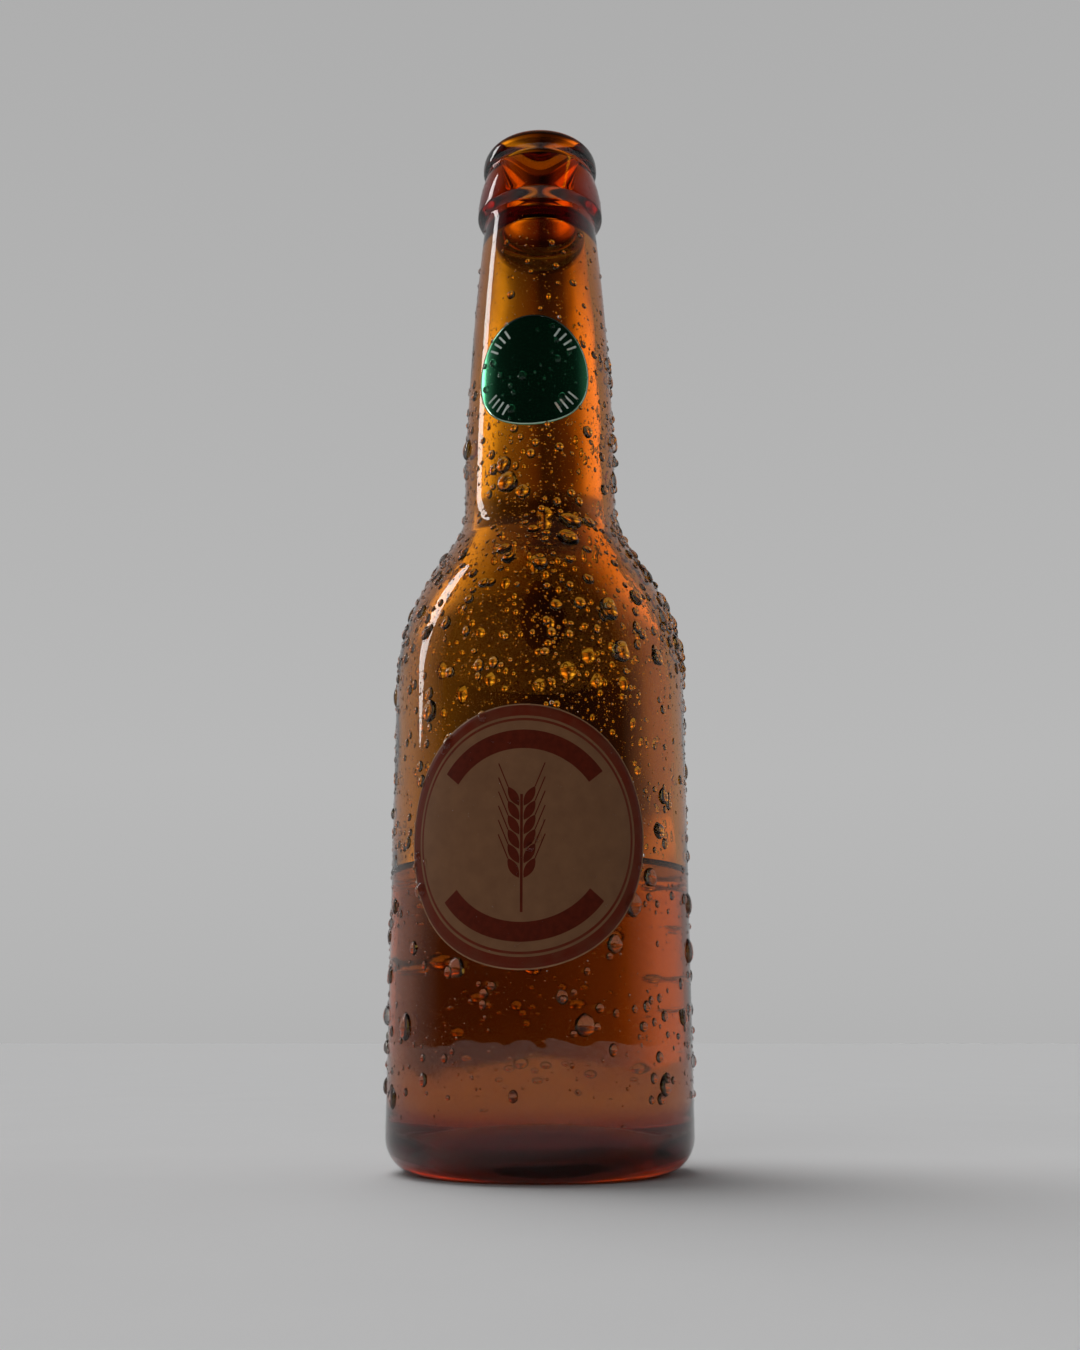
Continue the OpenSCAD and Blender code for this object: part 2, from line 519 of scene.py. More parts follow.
def sheetDisc(name, label, surfaceR, surface):
    s = labelSheet
    rows = [(i / s["rings"], s["thick"]) for i in range(1, s["rings"])]
    rows += [(1 - s["edge"] * 0.3 / label["r"], s["thick"]), (1.0, s["thick"] * 0.6), (1.0, -s["sunk"])]
    rows += [(i / s["rings"], -s["sunk"]) for i in range(s["rings"] - 1, 0, -1)]
    verts = [wrapped(label, surfaceR, 0, 0, s["thick"])]
    flat = [(0, 0)]
    for share, lift in rows:
        for k in range(s["segments"]):
            turn = 2 * math.pi * k / s["segments"]
            u, v = share * math.cos(turn), share * math.sin(turn)
            verts.append(wrapped(label, surfaceR, u * label["r"], v * label["r"], lift))
            flat.append((u, v))
    verts.append(wrapped(label, surfaceR, 0, 0, -s["sunk"]))
    flat.append((0, 0))
    n, last = s["segments"], len(verts) - 1
    faces = [(0, 1 + k, 1 + (k + 1) % n) for k in range(n)]
    for i in range(len(rows) - 1):
        for k in range(n):
            a, b = 1 + i * n + k, 1 + i * n + (k + 1) % n
            faces.append((a, a + n, b + n, b))
    faces += [(last, last - n + (k + 1) % n, last - n + k) for k in range(n)]
    made = linkedMesh(name, verts, faces)
    plan = made.data.uv_layers.new(name="print")
    for loop in made.data.loops:
        u, v = flat[loop.vertex_index]
        plan.data[loop.index].uv = (0.5 + u / 2, 0.5 + v / 2)
    made.data.polygons.foreach_set("use_smooth", [True] * len(made.data.polygons))
    made.data.materials.append(surface)
    faceOutwards(made)
    return made


def ribbon(label, surfaceR, line, width, closed=False):  # a printed line of some width along points (u, v)
    verts, faces = [], []
    count = len(line)
    strips = 1 if callable(width) else max(1, round(width / 0.6))  # wide lines bend with the glass
    sides = [1 - 2 * i / strips for i in range(strips + 1)]
    across = [(side, inkSheet["high"]) for side in sides] + [(side, inkSheet["low"]) for side in sides[::-1]]
    for i, (u, v) in enumerate(line):
        before = line[(i - 1) % count] if closed or i else line[i]
        after = line[(i + 1) % count] if closed or i < count - 1 else line[i]
        along = Vector((after[0] - before[0], after[1] - before[1])).normalized()
        half = (width(i / (count - 1)) if callable(width) else width) / 2
        for side, lift in across:
            verts.append(wrapped(label, surfaceR, u - side * along.y * half, v + side * along.x * half, lift))
    n = len(across)
    for i in range(count if closed else count - 1):
        a, b = n * i, n * ((i + 1) % count)
        faces += [(a + k, a + (k + 1) % n, b + (k + 1) % n, b + k) for k in range(n)]
    if not closed:
        faces += [tuple(range(n - 1, -1, -1)), tuple(range(n * count - n, n * count))]
    return verts, faces


def merged(name, parts, surface):
    verts, faces = [], []
    for partVerts, partFaces in parts:
        start = len(verts)
        verts += partVerts
        faces += [tuple(start + i for i in face) for face in partFaces]
    made = linkedMesh(name, verts, faces)
    made.data.materials.append(surface)
    work = bmesh.new()
    work.from_mesh(made.data)
    bmesh.ops.recalc_face_normals(work, faces=work.faces)
    work.to_mesh(made.data)
    work.free()
    return made


def ringLine(radius, fromDeg=0, toDeg=360, steps=96):
    turns = [math.radians(fromDeg + (toDeg - fromDeg) * i / steps) for i in range(steps + 1)]
    return [(radius * math.cos(t), radius * math.sin(t)) for t in turns]


def leafWidth(widest):  # pointed at both ends
    return lambda t: max(0.06, widest * math.sin(math.pi * t) ** 0.8)


def barleyEar(label, surfaceR, s):  # a plain ear: stalk, paired grains and their long awns
    stalk = [(0, s["foot"] + (s["top"] - s["foot"]) * i / 12) for i in range(13)]
    parts = [ribbon(label, surfaceR, stalk, s["stalk"])]
    for i in range(s["pairs"]):
        v = s["first"] + i * s["pitch"]
        for side in (-1, 1):
            lean = math.radians(s["lean"])
            ax, ay = side * math.sin(lean), math.cos(lean)
            start = (side * s["gap"], v)
            step = s["grain"] / 8
            grain = [(start[0] + ax * step * t, start[1] + ay * step * t) for t in range(9)]
            parts.append(ribbon(label, surfaceR, grain, leafWidth(s["fat"])))
            tip = grain[-1]
            outward, upward = ax * s["awn"] / 6 * s["awnOut"], ay * s["awn"] / 6 * s["awnUp"]
            awn = [(tip[0] + outward * t, tip[1] + upward * t) for t in range(7)]
            parts.append(ribbon(label, surfaceR, awn, s["hair"]))
    return parts


def tickGroups(label, surfaceR, s):  # short radial marks near the rim, in groups
    parts = []
    for centre in s["centres"]:
        for k in range(s["count"]):
            turn = math.radians(centre + (k - (s["count"] - 1) / 2) * s["spread"])
            stops = (s["inR"], (s["inR"] + s["outR"]) / 2, s["outR"])
            line = [(r * math.cos(turn), r * math.sin(turn)) for r in stops]
            parts.append(ribbon(label, surfaceR, line, s["width"]))
    return parts


def discColours(tree, stops):  # colour by distance from the middle of the sheet
    plan = addNode(tree, "ShaderNodeUVMap", uv_map="print")
    middle = addNode(tree, "ShaderNodeVectorMath", operation="DISTANCE")
    tree.links.new(plan.outputs["UV"], middle.inputs[0])
    middle.inputs[1].default_value = (0.5, 0.5, 0)
    share = calc(tree, "MULTIPLY", middle.outputs["Value"], 2)
    ramp = addNode(tree, "ShaderNodeValToRGB")
    ramp.color_ramp.interpolation = "CONSTANT"
    marks = ramp.color_ramp.elements
    marks[0].position, marks[0].color = 0, (*stops[0][1], 1)
    marks[1].position, marks[1].color = stops[1][0], (*stops[1][1], 1)
    for position, colour in stops[2:]:
        mark = marks.new(position)
        mark.color = (*colour, 1)
    tree.links.new(share, ramp.inputs["Fac"])
    return ramp.outputs["Color"]


def mottleGroup():  # uneven colour, as in paper, ink and worn surfaces
    tree = bpy.data.node_groups.new("mottle", "ShaderNodeTree")
    sockets = (
        ("Colour", "NodeSocketColor", (1, 1, 1, 1)),
        ("Shade", "NodeSocketColor", (0, 0, 0, 1)),
        ("Scale", "NodeSocketFloat", 100.0),
        ("Amount", "NodeSocketFloat", 0.2),
    )
    for label, kind, start in sockets:
        socket = tree.interface.new_socket(label, in_out="INPUT", socket_type=kind)
        socket.default_value = start
    tree.interface.new_socket("Colour", in_out="OUTPUT", socket_type="NodeSocketColor")
    tree.interface.new_socket("Mask", in_out="OUTPUT", socket_type="NodeSocketFloat")
    given, result = addNode(tree, "NodeGroupInput"), addNode(tree, "NodeGroupOutput")
    place = addNode(tree, "ShaderNodeTexCoord")
    grain = addNode(tree, "ShaderNodeTexNoise")
    grain.inputs["Detail"].default_value = 5.0
    tree.links.new(place.outputs["Object"], grain.inputs["Vector"])
    tree.links.new(given.outputs["Scale"], grain.inputs["Scale"])
    spread = addNode(tree, "ShaderNodeMapRange")
    spread.inputs["From Min"].default_value = 0.35
    spread.inputs["From Max"].default_value = 0.7
    tree.links.new(grain.outputs["Fac"], spread.inputs["Value"])
    blend = addNode(tree, "ShaderNodeMix", data_type="RGBA")
    factor = calc(tree, "MULTIPLY", spread.outputs["Result"], given.outputs["Amount"])
    tree.links.new(factor, blend.inputs["Factor"])
    tree.links.new(given.outputs["Colour"], blend.inputs["A"])
    tree.links.new(given.outputs["Shade"], blend.inputs["B"])
    tree.links.new(blend.outputs["Result"], result.inputs["Colour"])
    tree.links.new(spread.outputs["Result"], result.inputs["Mask"])
    return tree


mottle = mottleGroup()


def mottled(tree, colour, shade, scale, amount):
    made = addNode(tree, "ShaderNodeGroup")
    made.node_tree = mottle
    feed(tree, made.inputs["Colour"], colour)
    feed(tree, made.inputs["Shade"], shade)
    made.inputs["Scale"].default_value = scale
    made.inputs["Amount"].default_value = amount
    return made


foilSet = {
    "green": (0.05, 0.36, 0.16),
    "rim": (0.5, 0.62, 0.5),
    "edge": (0.05, 0.2, 0.1),
    "shade": (0.02, 0.2, 0.09, 1),
    "changes": (0.965, 0.985),  # shares of the radius where rim and edge begin
}


def greenFoil(s):
    made, tree, shader = material("greenFoil")
    rimFrom, edgeFrom = s["changes"]
    colour = discColours(tree, [(0, s["green"]), (rimFrom, s["rim"]), (edgeFrom, s["edge"])])
    uneven = mottled(tree, colour, s["shade"], 140, 0.3)
    tree.links.new(uneven.outputs["Colour"], shader.inputs["Base Color"])
    shader.inputs["Metallic"].default_value = 1.0
    rough = calc(tree, "MULTIPLY_ADD", uneven.outputs["Mask"], 0.06, 0.16)
    tree.links.new(rough, shader.inputs["Roughness"])
    shader.inputs["Coat Weight"].default_value = 0.4
    shader.inputs["Coat Roughness"].default_value = 0.08
    bumped(tree, shader, 260, 0.12, 0.0002, 4)
    return made


# the paper, cream and shade colours are painted darker than the paper itself: painted shade for the shade the
# body label lies in
paperColoursInPaintedShade = {
    "crimson": (0.125, 0.015, 0.005),
    "cream": (0.32, 0.17, 0.09),
    "paper": (0.2, 0.095, 0.046),
    "shade": (0.12, 0.052, 0.026, 1),
    "changes": (0.865, 0.885, 0.905, 0.985),  # shares of the radius where line, paper, ring and rim begin
}


def labelPaper(s):
    made, tree, shader = material("labelPaper")
    colours = (s["crimson"], s["paper"], s["crimson"], s["cream"])
    # paper and cream here carry painted shade, so the label reads darker than its own paper colour
    colour = discColours(tree, [(0, s["paper"]), *zip(s["changes"], colours)])
    uneven = mottled(tree, colour, s["shade"], 320, 0.35)
    tree.links.new(uneven.outputs["Colour"], shader.inputs["Base Color"])
    rough = calc(tree, "MULTIPLY_ADD", uneven.outputs["Mask"], 0.15, 0.42)
    tree.links.new(rough, shader.inputs["Roughness"])
    shader.inputs["Specular IOR Level"].default_value = 0.1
    bumped(tree, shader, 1400, 0.25, 0.00008, 3)
    return made


def ink(name, colour, roughness):
    made, tree, shader = material(name)
    uneven = mottled(tree, (*colour, 1), (*[c * 0.5 for c in colour], 1), 900, 0.5)
    tree.links.new(uneven.outputs["Colour"], shader.inputs["Base Color"])
    shader.inputs["Roughness"].default_value = roughness
    shader.inputs["Specular IOR Level"].default_value = 0.1
    return made


crimsonInk = ink("crimsonInk", (0.1, 0.012, 0.004), 0.55)
paleInk = ink("paleInk", (0.62, 0.68, 0.62), 0.35)

neckLabel = sheetDisc("neckLabelFoil", neckLabelSet, neckRadius, greenFoil(foilSet))
bodyLabel = sheetDisc("bodyLabelPaper", bodyLabelSet, bodyRadius, labelPaper(paperColoursInPaintedShade))

tickSet = {"centres": (45, 135, 225, 315), "count": 4, "spread": 8.5, "inR": 9.4, "outR": 11.9, "width": 0.45}
neckPrint = merged("neckLabelPrint", tickGroups(neckLabelSet, neckRadius, tickSet), paleInk)

earSet = {"foot": -14.5, "top": 7.5, "stalk": 0.5, "pairs": 6, "first": -8.2, "pitch": 2.7, "lean": 30,
          "gap": 0.45, "grain": 4.2, "fat": 1.7, "awn": 5.0, "awnOut": 0.75, "awnUp": 1.05, "hair": 0.22}
bandSet = {"r": 18.1, "width": 3.6, "span": 104}
halfSpan = bandSet["span"] / 2
bandLines = [ringLine(bandSet["r"], middle - halfSpan, middle + halfSpan, 48) for middle in (90, 270)]
bands = [ribbon(bodyLabelSet, bodyRadius, line, bandSet["width"]) for line in bandLines]
bodyPrint = merged("bodyLabelPrint", barleyEar(bodyLabelSet, bodyRadius, earSet) + bands, crimsonInk)

for piece, node in ((neckLabel, "neck_label"), (bodyLabel, "body_label")):
    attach(piece, "root")
    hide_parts(node)
for piece, slotName in ((neckPrint, "green_foil"), (bodyPrint, "label_paper")):
    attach(piece, "root")
print("labels made")


# water drops on the outside of the glass

dropSet = {"contact": 72, "sink": 0.1}


def dropShape(name, s, seed):  # a unit drop on the plane z = 0, downhill along +X
    rings, segments, height, sag = s["rings"], s["segments"], s["height"], s["sag"]
    contact = math.radians(dropSet["contact"])
    verts = [(sag * height, 0, height)]
    for i in range(1, rings + 1):
        t = i / rings
        reach = math.sin(t * contact) / math.sin(contact)
        rise = height * (math.cos(t * contact) - math.cos(contact)) / (1 - math.cos(contact))
        for k in range(segments):
            turn = 2 * math.pi * k / segments
            swell = 1 + s["wobble"] * noise.noise((1.3 * math.cos(turn), 1.3 * math.sin(turn), seed * 7.3))
            verts.append((reach * swell * math.cos(turn) + sag * rise, reach * swell * math.sin(turn), rise))
    rim = len(verts) - segments
    verts += [(x, y, -dropSet["sink"]) for x, y, z in verts[rim:]]
    verts.append((0, 0, -dropSet["sink"]))
    faces = [(0, 1 + k, 1 + (k + 1) % segments) for k in range(segments)]
    for i in range(rings):
        for k in range(segments):
            a, b = 1 + i * segments + k, 1 + i * segments + (k + 1) % segments
            faces.append((a, a + segments, b + segments, b))
    last = len(verts) - 1
    faces += [(last, last - segments + (k + 1) % segments, last - segments + k) for k in range(segments)]
    made = linkedMesh(name, verts, faces)
    made.data.polygons.foreach_set("use_smooth", [True] * len(faces))
    return made


def dropTree():
    tree, given, result = geometryTree("scatterDrops", [
        ("Shapes", "NodeSocketCollection", None),
        ("Spread", "NodeSocketString", ""),
        ("Spacing", "NodeSocketFloat", 0.001),
        ("Density", "NodeSocketFloat", 1000.0),
        ("Smallest", "NodeSocketFloat", 0.0002),
        ("Largest", "NodeSocketFloat", 0.001),
        ("Bias", "NodeSocketFloat", 2.0),
        ("Stretch", "NodeSocketFloat", 1.2),
        ("Seed", "NodeSocketInt", 1),
        ("Surface", "NodeSocketMaterial", None),
    ])
    spread = addNode(tree, "GeometryNodeInputNamedAttribute", data_type="FLOAT")
    feed(tree, spread.inputs["Name"], given.outputs["Spread"])
    points = addNode(tree, "GeometryNodeDistributePointsOnFaces", distribute_method="POISSON")
    feed(tree, points.inputs["Mesh"], given.outputs["Geometry"])
    feed(tree, points.inputs["Distance Min"], given.outputs["Spacing"])
    feed(tree, points.inputs["Density Max"], given.outputs["Density"])
    feed(tree, points.inputs["Density Factor"], spread.outputs["Attribute"])
    feed(tree, points.inputs["Seed"], given.outputs["Seed"])

    def chance(low, high, step):
        made = addNode(tree, "FunctionNodeRandomValue", data_type="FLOAT")
        feed(tree, made.inputs[2], low)
        feed(tree, made.inputs[3], high)
        feed(tree, made.inputs["Seed"], wholeCalc(tree, "ADD", given.outputs["Seed"], step))
        return made.outputs[1]

    lot = calc(tree, "POWER", chance(0.0, 1.0, 11), given.outputs["Bias"])
    span = calc(tree, "SUBTRACT", given.outputs["Largest"], given.outputs["Smallest"])
    size = calc(tree, "MULTIPLY_ADD", lot, span, given.outputs["Smallest"])
    scale = addNode(tree, "ShaderNodeCombineXYZ")
    feed(tree, scale.inputs["X"], calc(tree, "MULTIPLY", size, chance(0.9, given.outputs["Stretch"], 23)))
    feed(tree, scale.inputs["Y"], calc(tree, "MULTIPLY", size, chance(0.85, 1.1, 31)))
    feed(tree, scale.inputs["Z"], calc(tree, "MULTIPLY", size, chance(0.75, 1.15, 47)))
    downhill = addNode(tree, "FunctionNodeAlignRotationToVector", axis="X", pivot_axis="Z")
    feed(tree, downhill.inputs["Rotation"], points.outputs["Rotation"])
    downhill.inputs["Vector"].default_value = (0, 0, -1)
    shapes = addNode(tree, "GeometryNodeCollectionInfo")
    feed(tree, shapes.inputs["Collection"], given.outputs["Shapes"])
    shapes.inputs["Separate Children"].default_value = True
    shapes.inputs["Reset Children"].default_value = True
    place = addNode(tree, "GeometryNodeInstanceOnPoints")
    feed(tree, place.inputs["Points"], points.outputs["Points"])
    feed(tree, place.inputs["Instance"], shapes.outputs[0])
    place.inputs["Pick Instance"].default_value = True
    feed(tree, place.inputs["Rotation"], downhill.outputs[0])
    feed(tree, place.inputs["Scale"], scale.outputs[0])
    whole = addNode(tree, "GeometryNodeRealizeInstances")
    feed(tree, whole.inputs[0], place.outputs[0])
    smooth = addNode(tree, "GeometryNodeSetShadeSmooth")
    feed(tree, smooth.inputs["Geometry"], whole.outputs[0])
    paint = addNode(tree, "GeometryNodeSetMaterial")
    feed(tree, paint.inputs["Geometry"], smooth.outputs[0])
    feed(tree, paint.inputs["Material"], given.outputs["Surface"])
    feed(tree, result.inputs[0], paint.outputs[0])
    return tree


def onLabel(x, y, z):  # how far a point of the glass is inside a label, as a lift in millimetres
    for label, surfaceR in ((neckLabelSet, neckRadius), (bodyLabelSet, bodyRadius)):
        if abs(z - label["z"]) < label["r"] and y < 0:
            radius = surfaceR(label["z"])
            u = radius * math.atan2(x, -y)
            if math.hypot(u, z - label["z"]) < label["r"]:
                return labelSheet["thick"]
    return 0.0


def ramp(value, *stops):  # straight lines between (value, result) stops
    if value <= stops[0][0]:
        return stops[0][1]
    for (a, fa), (b, fb) in zip(stops, stops[1:]):
        if value <= b:
            return fa + (fb - fa) * (value - a) / (b - a)
    return stops[-1][1]


wetSet = {
    # height in millimetres and how thickly the drops lie there
    "mist": (
        (6, 0), (22, 0.35), (80, 0.55), (100, 1), (150, 1), (178, 0.55), (205, 0.3), (215, 0.06), (226, 0),
    ),
    "beads": ((6, 0), (20, 0.5), (85, 0.6), (110, 1), (150, 0.9), (185, 0.35), (208, 0.12), (212, 0)),
    "blobs": ((8, 0), (25, 0.8), (95, 0.8), (120, 1), (146, 0.5), (160, 0.1), (180, 0)),
    "hanging": ((96, 0), (106, 1), (168, 0.9), (182, 0)),
    # degrees away from a side of the bottle, and the share there
    "leftSide": -55,
    "leftShare": ((0, 1), (75, 0.25)),
    "rightSide": 88,
    "rightShare": ((0, 1), (14, 0.5), (26, 0)),
    "patchSize": 9,
}


def wetness(s, x, y, z):  # how thickly each kind of drop lies at a point of the glass, 0 to 1
    side = math.degrees(math.atan2(x, -y))  # 0 at the labels, 90 towards +X
    patch = noise.fractal((x / s["patchSize"], y / s["patchSize"], z / s["patchSize"]), 0.8, 2.0, 3)
    patch = min(1.0, max(0.0, 0.5 + 0.9 * patch))
    left = ramp(abs(side - s["leftSide"]), *s["leftShare"])
    right = ramp(abs(side - s["rightSide"]), *s["rightShare"])
    mist = ramp(z, *s["mist"]) * (0.25 + 0.75 * patch) * (0.45 + 0.55 * left)
    beads = ramp(z, *s["beads"]) * (0.3 + 0.7 * patch)
    blobs = ramp(z, *s["blobs"]) * (0.4 + 0.6 * patch)
    hanging = right * ramp(z, *s["hanging"])
    if onLabel(x, y, z):
        mist, beads, blobs = mist * 0.3, beads * (0.1 if z < 100 else 0.8), 0
    return {"mist": mist, "beads": beads, "blobs": blobs, "hanging": hanging}


def wetSkin():
    start = min(range(len(outside)), key=lambda i: abs(outside[i][1] - 6) + abs(outside[i][0] - 30))
    skin = turned("wetSkin", outside[start:], None, turns=180)
    lifted = []
    for v in skin.data.vertices:
        x, y, z = (c / mm for c in v.co)
        lifted.append((x, y, z, onLabel(x, y, z)))
    amounts = [wetness(wetSet, x, y, z) for x, y, z, lift in lifted]
    for kind in amounts[0]:
        layer = skin.data.attributes.new(kind, "FLOAT", "POINT")
        layer.data.foreach_set("value", [a[kind] for a in amounts])
    for v, (x, y, z, lift) in zip(skin.data.vertices, lifted):
        if lift:
            out = Vector((x, y, 0)).normalized() * lift * mm
            v.co += out
    skin.data.update()
    work = bmesh.new()
    work.from_mesh(skin.data)
    bmesh.ops.recalc_face_normals(work, faces=work.faces)
    work.faces.ensure_lookup_table()
    face = work.faces[len(work.faces) // 2]
    centre = face.calc_center_median()
    if face.normal.x * centre.x + face.normal.y * centre.y < 0:
        bmesh.ops.reverse_faces(work, faces=work.faces)
    work.to_mesh(skin.data)
    work.free()
    return skin


def placedDrops(skin, s, placed):  # single drops of chosen size
    parts = []
    down = Vector((0, 0, -1))
    for i, (side, height, radius) in enumerate(placed["drops"]):
        turn = math.radians(side)
        out = Vector((math.sin(turn), -math.cos(turn), 0))

        def farOff(v):
            sideways = placed["sideWeight"] * (v.co.xy.normalized() - out.xy).length
            return (v.co.z / mm - height) ** 2 + sideways**2

        spot = min(skin.data.vertices, key=farOff)
        normal = spot.normal.copy()
        if normal.dot(out) < 0:
            normal.negate()
        downhill = (down - normal * normal.dot(down)).normalized()
        across = normal.cross(downhill)
        shape = dropShape("placed", s, s["seed"] + placed["seedStep"] + i)
        verts = []
        for v in shape.data.vertices:
            reach = downhill * v.co.x * placed["stretch"] + across * v.co.y + normal * v.co.z
            verts.append(tuple(spot.co + reach * radius * mm))
        parts.append((verts, [tuple(face.vertices) for face in shape.data.polygons]))
        bpy.data.objects.remove(shape)
    return parts


def addParts(piece, parts):  # puts more closed shapes into a piece's own mesh
    slot = piece.data.polygons[0].material_index
    work = bmesh.new()
    work.from_mesh(piece.data)
    for partVerts, partFaces in parts:
        corners = [work.verts.new(v) for v in partVerts]
        for face in partFaces:
            added = work.faces.new([corners[i] for i in face])
            added.smooth = True
            added.material_index = slot
    work.to_mesh(piece.data)
    work.free()


def shapeCollection(name, shapes):
    made = bpy.data.collections.new(name)
    for shape in shapes:
        scene.collection.objects.unlink(shape)
        made.objects.link(shape)
    return made


skin = wetSkin()
scatter = dropTree()
placedSet = {
    # side in degrees from the labels, height and radius in millimetres
    "drops": [
        (-18, 140, 2.3), (-31, 147, 1.0), (-30, 143.5, 1.2), (-34, 138, 0.9), (-8, 119, 1.5), (-24, 116, 1.1),
        (-14, 113, 1.0), (-36, 124, 1.2), (22, 108, 1.3), (38, 99, 2.1), (26, 128, 2.4),
    ],
    "sideWeight": 300,
    "stretch": 1.1,
    "seedStep": 40,
}
dropKinds = {
    "mist": {
        "rings": 1, "segments": 6, "height": 0.62, "wobble": 0.1, "sag": 0.05,
        "spacing": 0.53, "density": 1400000, "smallest": 0.09, "largest": 0.26,
        "bias": 1.6, "stretch": 1.15, "seed": 3,
    },
    "beads": {
        "rings": 3, "segments": 12, "height": 0.62, "wobble": 0.07, "sag": 0.15,
        "spacing": 1.64, "density": 400000, "smallest": 0.3, "largest": 1.1,
        "bias": 2.6, "stretch": 1.3, "seed": 8,
    },
    "blobs": {
        "rings": 10, "segments": 36, "height": 0.45, "wobble": 0.16, "sag": 0.25,
        "spacing": 6.0, "density": 30000, "smallest": 1.1, "largest": 2.4,
        "bias": 1.8, "stretch": 1.25, "seed": 21,
    },
    "hanging": {
        "rings": 6, "segments": 20, "height": 0.8, "wobble": 0.2, "sag": 0.3,
        "spacing": 2.4, "density": 400000, "smallest": 0.6, "largest": 1.5,
        "bias": 1.3, "stretch": 1.9, "seed": 5,
    },
}
for kind, s in dropKinds.items():
    shapes = [dropShape(kind + "Shape" + str(i), s, s["seed"] + i) for i in range(5)]
    held = shapeCollection(kind + "Shapes", shapes)
    drops = runTree(skin, scatter, {
        "Shapes": held,
        "Spread": kind,
        "Spacing": s["spacing"] * mm,
        "Density": float(s["density"]),
        "Smallest": s["smallest"] * mm,
        "Largest": s["largest"] * mm,
        "Bias": s["bias"],
        "Stretch": s["stretch"],
        "Seed": s["seed"],
        "Surface": waterDrop,
    }, kind + "Drops")
    if kind == "blobs":
        addParts(drops, placedDrops(skin, s, placedSet))
    faceOutwards(drops)
    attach(drops, "root")
    for shape in shapes:
        bpy.data.objects.remove(shape)
    bpy.data.collections.remove(held)
bpy.data.objects.remove(skin)
print("drops made")


# floor and light

stageSet = {"floorSize": 30.0, "floorColour": (0.8, 0.8, 0.803, 1), "floorShade": (0.76, 0.76, 0.765, 1)}


def makeFloor(s):
    made, tree, shader = material("paleFloor")
    uneven = mottled(tree, s["floorColour"], s["floorShade"], 25, 0.25)
    tree.links.new(uneven.outputs["Colour"], shader.inputs["Base Color"])
    shader.inputs["Roughness"].default_value = 0.9
    shader.inputs["Specular IOR Level"].default_value = 0.0
    half = s["floorSize"] / 2
    corners = [(-half, -half, 0), (half, -half, 0), (half, half, 0), (-half, half, 0)]
    floor = linkedMesh("floor", corners, [(0, 1, 2, 3)])
    floor.data.materials.append(made)


makeFloor(stageSet)

skySet = {
    # height of the direction (0 level, 1 straight up) and grey level of the backdrop there
    "heights": ((0.0, 0.45), (0.04, 0.46), (0.18, 0.48), (0.66, 0.42), (0.78, 0.1), (1.0, 0.1)),
    # the room in front of the labels is dark, the backdrop behind is light: depth 0 in front, 1 behind
    "depths": ((0.0, 0.02), (0.35, 0.04), (0.5, 0.45), (0.65, 0.9)),
    "middle": -6.5,  # degrees round, where the cards behind the glass have their middle
    # what the glass looks through at: degrees from the middle, level, warmth
    "highCards": (
        (-45, 0.5, 0.4), (-30, 1.8, 0.2), (-20, 2.1, 0.15), (-12, 1.4, 0.25), (-8, 0.55, 0.4),
        (-5, 0.28, 0.7), (-1, 0.14, 1.25), (0.5, 0.045, 1.25), (3, 0.06, 1.25),
        (6, 0.15, 1.25), (9, 0.55, 1.15),
        (12, 1.3, 1.05), (22, 2.3, 1.0), (32, 2.6, 1.0), (45, 1.4, 0.8),
    ),
    "lowCards": (
        (-45, 0.7, 0.6), (-36, 1.1, 0.6), (-26, 1.0, 0.6), (-18, 0.55, 0.6), (-12, 0.28, 0.6), (0, 0.15, 0.6),
        (12, 0.12, 0.6), (24, 0.12, 0.6), (38, 0.3, 0.5), (45, 0.4, 0.5),
    ),
    # height of the direction and the cards' share there
    "cardFades": (
        (0.0, 1), (0.1, 1), (0.15, 0.2), (0.33, 0.2), (0.375, 0.95), (0.48, 1), (0.53, 0.32), (1.0, 0.3),
    ),
    "cardChange": (0.09, 0.135),  # height of the direction where the low cards give way to the high ones
    "cardGain": 3.0,
    "warmTint": (1.0, 0.55, 0.3),
}


def greyRamp(tree, value, stops):
    made = addNode(tree, "ShaderNodeValToRGB")
    marks = made.color_ramp.elements
    marks[0].position, marks[0].color = stops[0][0], (*[stops[0][1]] * 3, 1)
    marks[1].position, marks[1].color = stops[-1][0], (*[stops[-1][1]] * 3, 1)
    for position, level in stops[1:-1]:
        marks.new(position).color = (level, level, level, 1)
    tree.links.new(value, made.inputs["Fac"])
    return made.outputs["Color"]


def blended(tree, weight, a, b, how="MIX"):
    made = addNode(tree, "ShaderNodeMix", data_type="RGBA", blend_type=how)
    feed(tree, made.inputs["Factor"], weight)
    feed(tree, made.inputs["A"], a)
    feed(tree, made.inputs["B"], b)
    return made.outputs["Result"]


def cardRamp(tree, value, stops, gain, warm):
    made = addNode(tree, "ShaderNodeValToRGB")
    marks = made.color_ramp.elements
    for i, (degrees, level, warmth) in enumerate(stops):
        position = degrees / 90 + 0.5
        mark = marks[i] if i < 2 else marks.new(position)
        mark.position = position
        mark.color = (*[level / gain * (1 + (w - 1) * warmth) for w in warm], 1)
    tree.links.new(value, made.inputs["Fac"])
    return made.outputs["Color"]


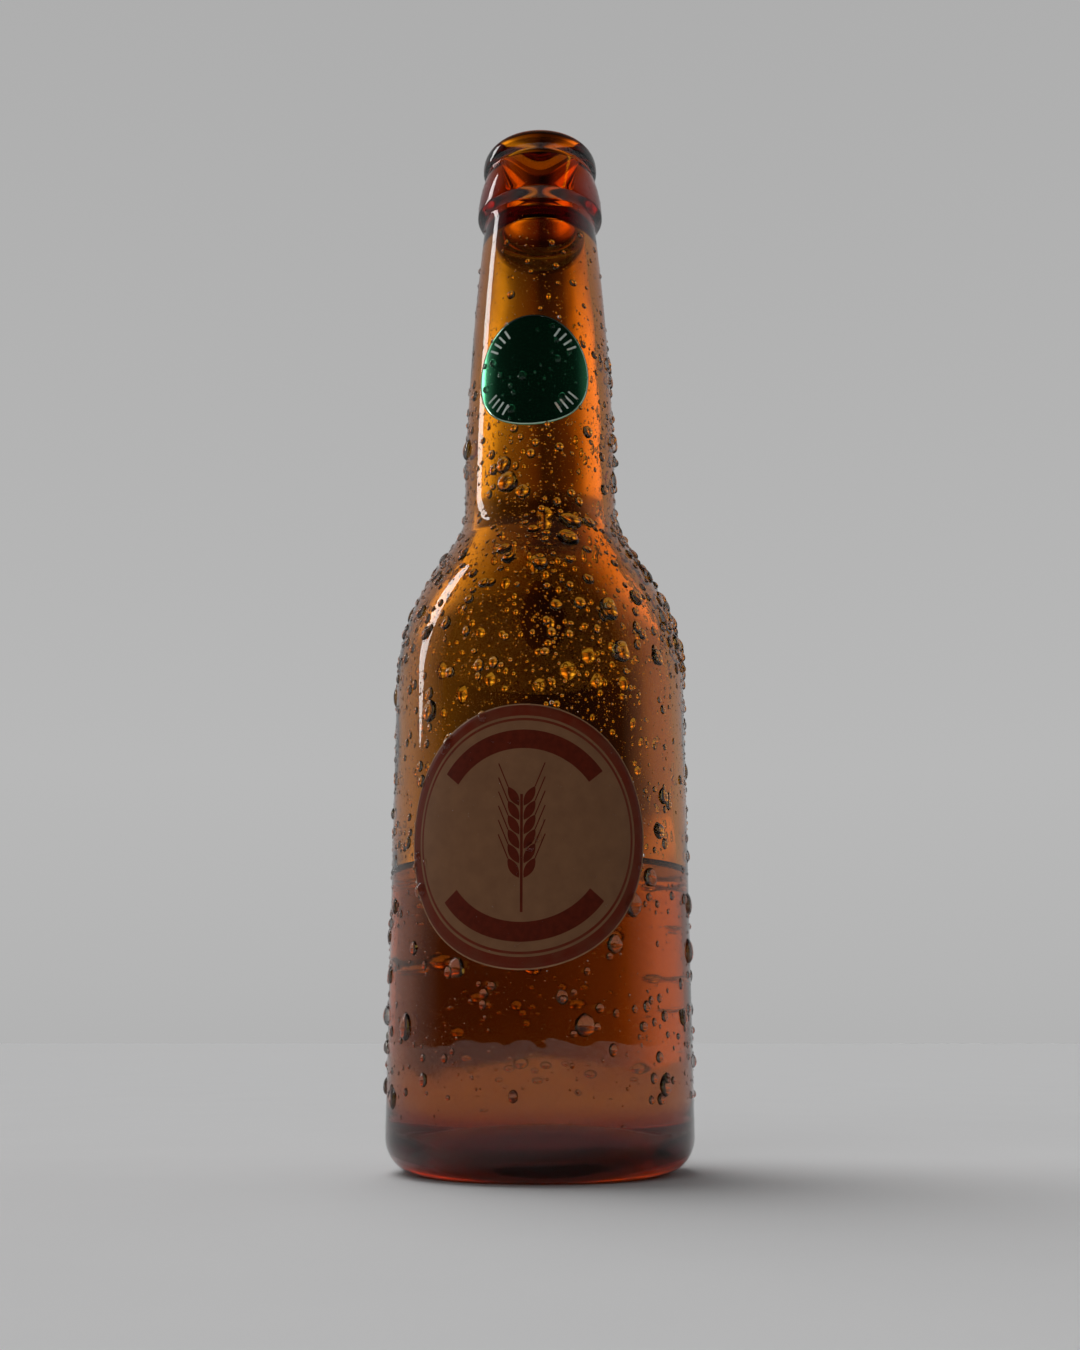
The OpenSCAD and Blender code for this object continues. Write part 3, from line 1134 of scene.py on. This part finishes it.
def makeSky(s):
    world = bpy.data.worlds.new("studio")
    scene.world = world
    world.use_nodes = True
    tree = world.node_tree
    background = tree.nodes["Background"]
    parts = addNode(tree, "ShaderNodeSeparateXYZ")
    tree.links.new(addNode(tree, "ShaderNodeTexCoord").outputs["Generated"], parts.inputs[0])
    backdrop = greyRamp(tree, parts.outputs["Z"], s["heights"])
    depth = greyRamp(tree, calc(tree, "MULTIPLY_ADD", parts.outputs["Y"], 0.5, 0.5), s["depths"])
    room = blended(tree, 1.0, backdrop, depth, "MULTIPLY")

    turn = calc(tree, "ARCTAN2", parts.outputs["X"], parts.outputs["Y"])
    # the same cards stand on all four sides
    quarters = calc(tree, "MULTIPLY_ADD", turn, 2 / math.pi, 4.5 - s["middle"] / 90)
    across = calc(tree, "FRACT", quarters)
    change = addNode(tree, "ShaderNodeMapRange", interpolation_type="SMOOTHSTEP")
    feed(tree, change.inputs["Value"], parts.outputs["Z"])
    change.inputs["From Min"].default_value, change.inputs["From Max"].default_value = s["cardChange"]
    low = cardRamp(tree, across, s["lowCards"], s["cardGain"], s["warmTint"])
    high = cardRamp(tree, across, s["highCards"], s["cardGain"], s["warmTint"])
    fade = calc(tree, "MULTIPLY", greyRamp(tree, parts.outputs["Z"], s["cardFades"]), s["cardGain"])
    cards = addNode(tree, "ShaderNodeVectorMath", operation="SCALE")
    feed(tree, cards.inputs[0], blended(tree, change.outputs["Result"], low, high))
    feed(tree, cards.inputs["Scale"], fade)

    rays = addNode(tree, "ShaderNodeLightPath")
    seen = blended(tree, rays.outputs["Is Camera Ray"], room, backdrop)
    # light that went through the glass without being mirrored on its way
    straight = calc(tree, "LESS_THAN", rays.outputs["Glossy Depth"], 0.5)
    through = calc(tree, "MULTIPLY", rays.outputs["Is Transmission Ray"], straight)
    tree.links.new(blended(tree, through, seen, cards.outputs[0]), background.inputs["Color"])


makeSky(skySet)

lamps = {
    "leftStrip": {
        "kind": "AREA", "at": (-0.62, 0.1, 0.5), "aim": (0, 0, 0.16), "size": (0.14, 0.6), "power": 1.2,
    },
    "top": {
        "kind": "SUN", "at": (-0.5, 0.35, 1.2), "aim": (0, 0, 0), "size": (50, 0), "power": 1.4,
    },
    "fill": {
        "kind": "SUN", "at": (-0.35, -1.0, 0.35), "aim": (0, 0, 0), "size": (60, 0), "power": 0.6,
    },
}


def makeLamp(name, s):
    data = bpy.data.lights.new(name, s["kind"])
    if s["kind"] == "SUN":
        data.angle = math.radians(s["size"][0])
    else:
        data.shape = "ELLIPSE"
        data.size, data.size_y = s["size"]
    data.energy = s["power"]
    lamp = bpy.data.objects.new(name, data)
    lamp.location = s["at"]
    lamp.rotation_euler = (Vector(s["aim"]) - Vector(s["at"])).to_track_quat("-Z", "Y").to_euler()
    lamp.visible_camera = False
    lamp.visible_transmission = False
    # the strip only shows as a highlight, the others only light matt surfaces
    lamp.visible_glossy = name == "leftStrip"
    lamp.visible_diffuse = name != "leftStrip"
    scene.collection.objects.link(lamp)


for lampName, lampSet in lamps.items():
    makeLamp(lampName, lampSet)

scene.view_settings.view_transform = "Standard"
scene.cycles.max_bounces = 20
scene.cycles.transmission_bounces = 20
print("stage set")
